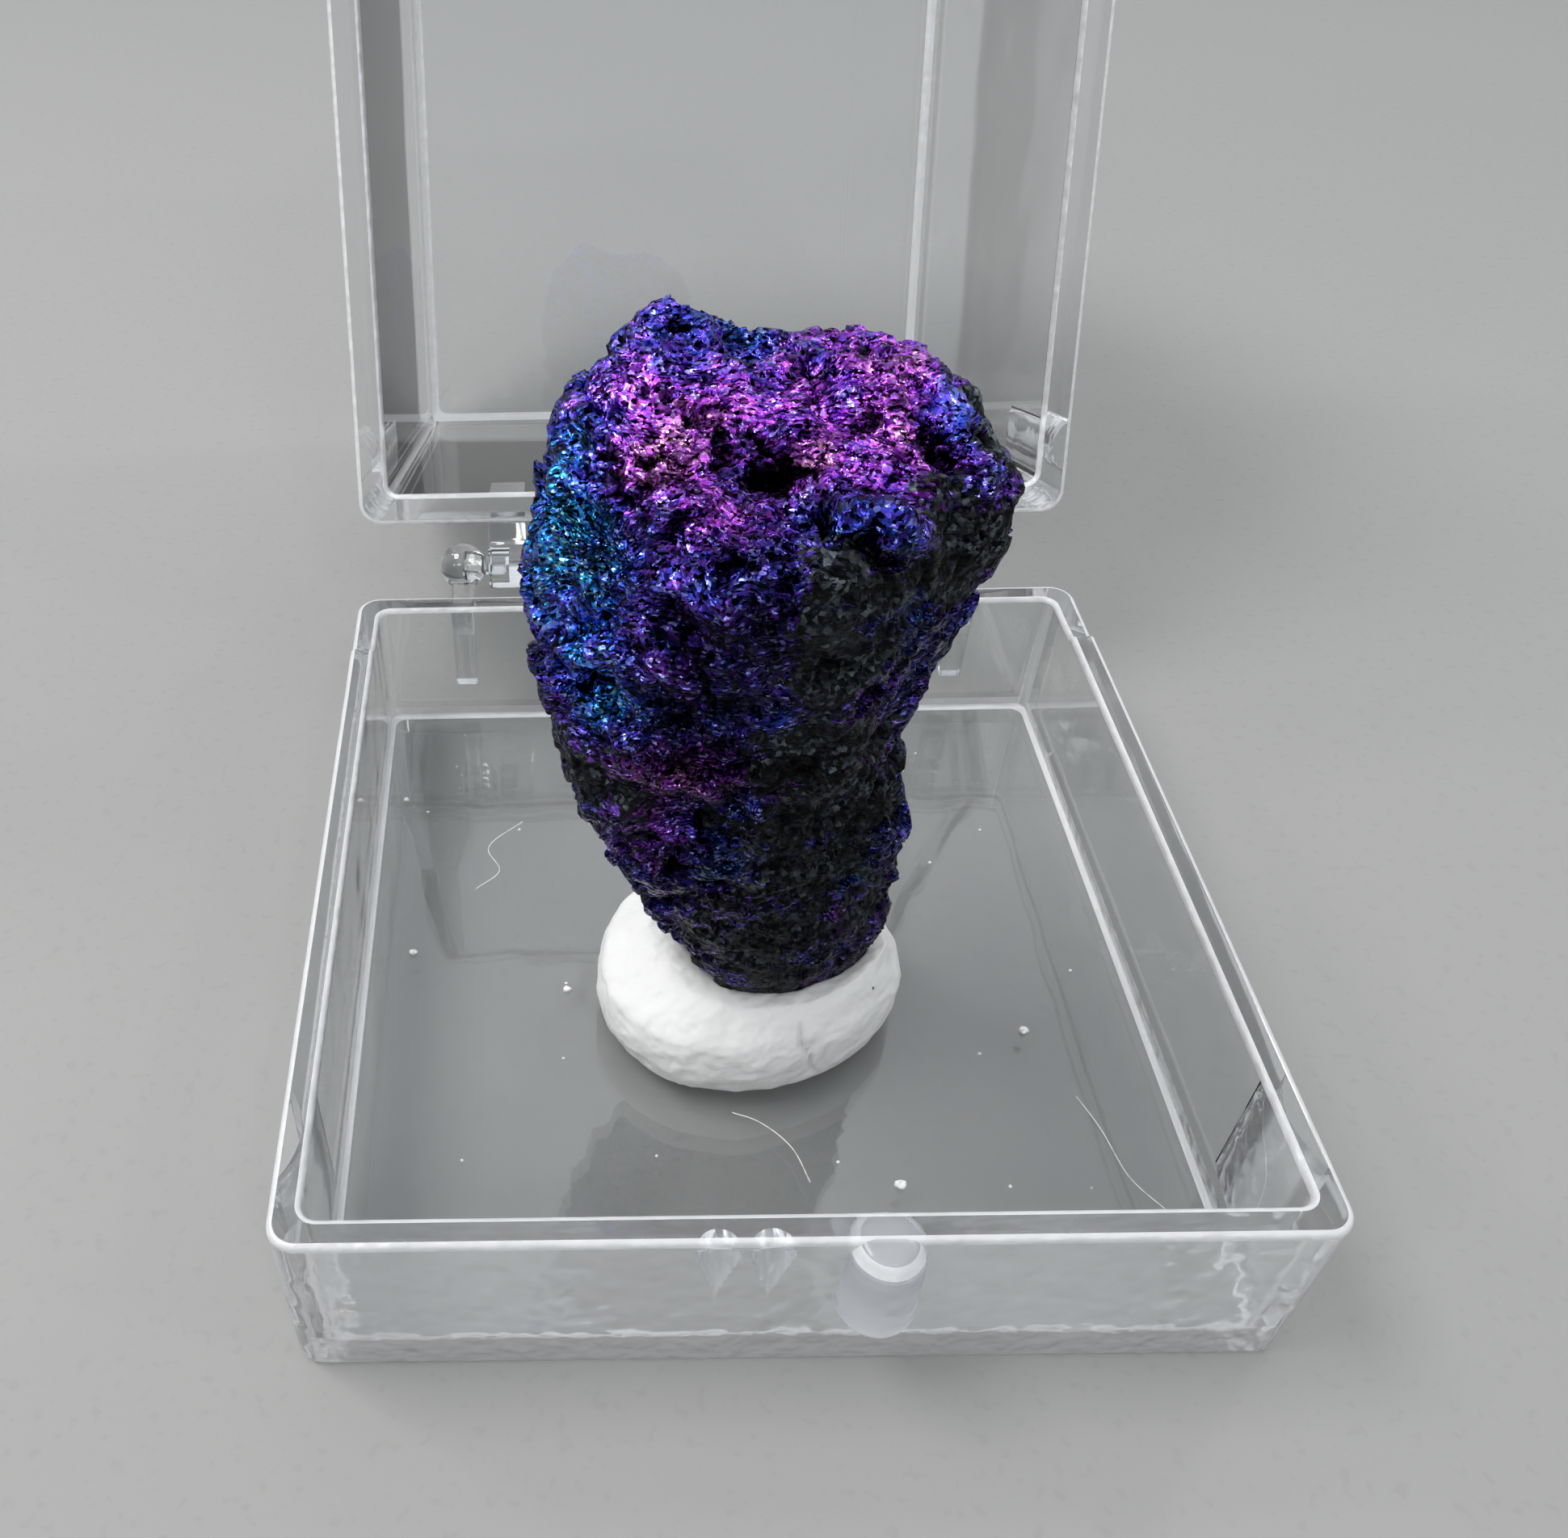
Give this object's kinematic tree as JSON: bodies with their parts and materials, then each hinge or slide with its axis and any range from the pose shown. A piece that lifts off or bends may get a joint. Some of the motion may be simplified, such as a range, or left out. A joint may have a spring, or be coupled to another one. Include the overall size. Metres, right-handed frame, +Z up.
{
  "type": "peacock ore specimen in display box",
  "caption": "Iridescent peacock ore stone standing in white putty in a small clear plastic box, its hinged lid swung back open.",
  "frame": {"origin": "centre of the tray's flat underside", "axes": "+Z up, -Y towards the front of the tray, +X to the right; the lid's hinge axis lies along X behind the tray"},
  "size_m": [0.066, 0.147, 0.0802],
  "materials": {
    "clear_tray": "clear polished polystyrene",
    "clear_lid": "clear polished polystyrene",
    "white_putty": "matte, finely wrinkled",
    "tarnished_ore": "broken grains with an iridescent violet, blue and magenta tarnish"
  },
  "bodies": {
    "base": {"tray": "clear_tray", "putty": "white_putty", "peacock_ore": "tarnished_ore"},
    "lid": {"lid": "clear_lid"}
  },
  "joints": [
    {"name": "lid_hinge", "type": "hinge", "parent": "base", "child": "lid", "pos_m": [0, 0.037, 0.0156], "axis": [1, 0, 0], "range_deg": [0, 112.49]}
  ]
}
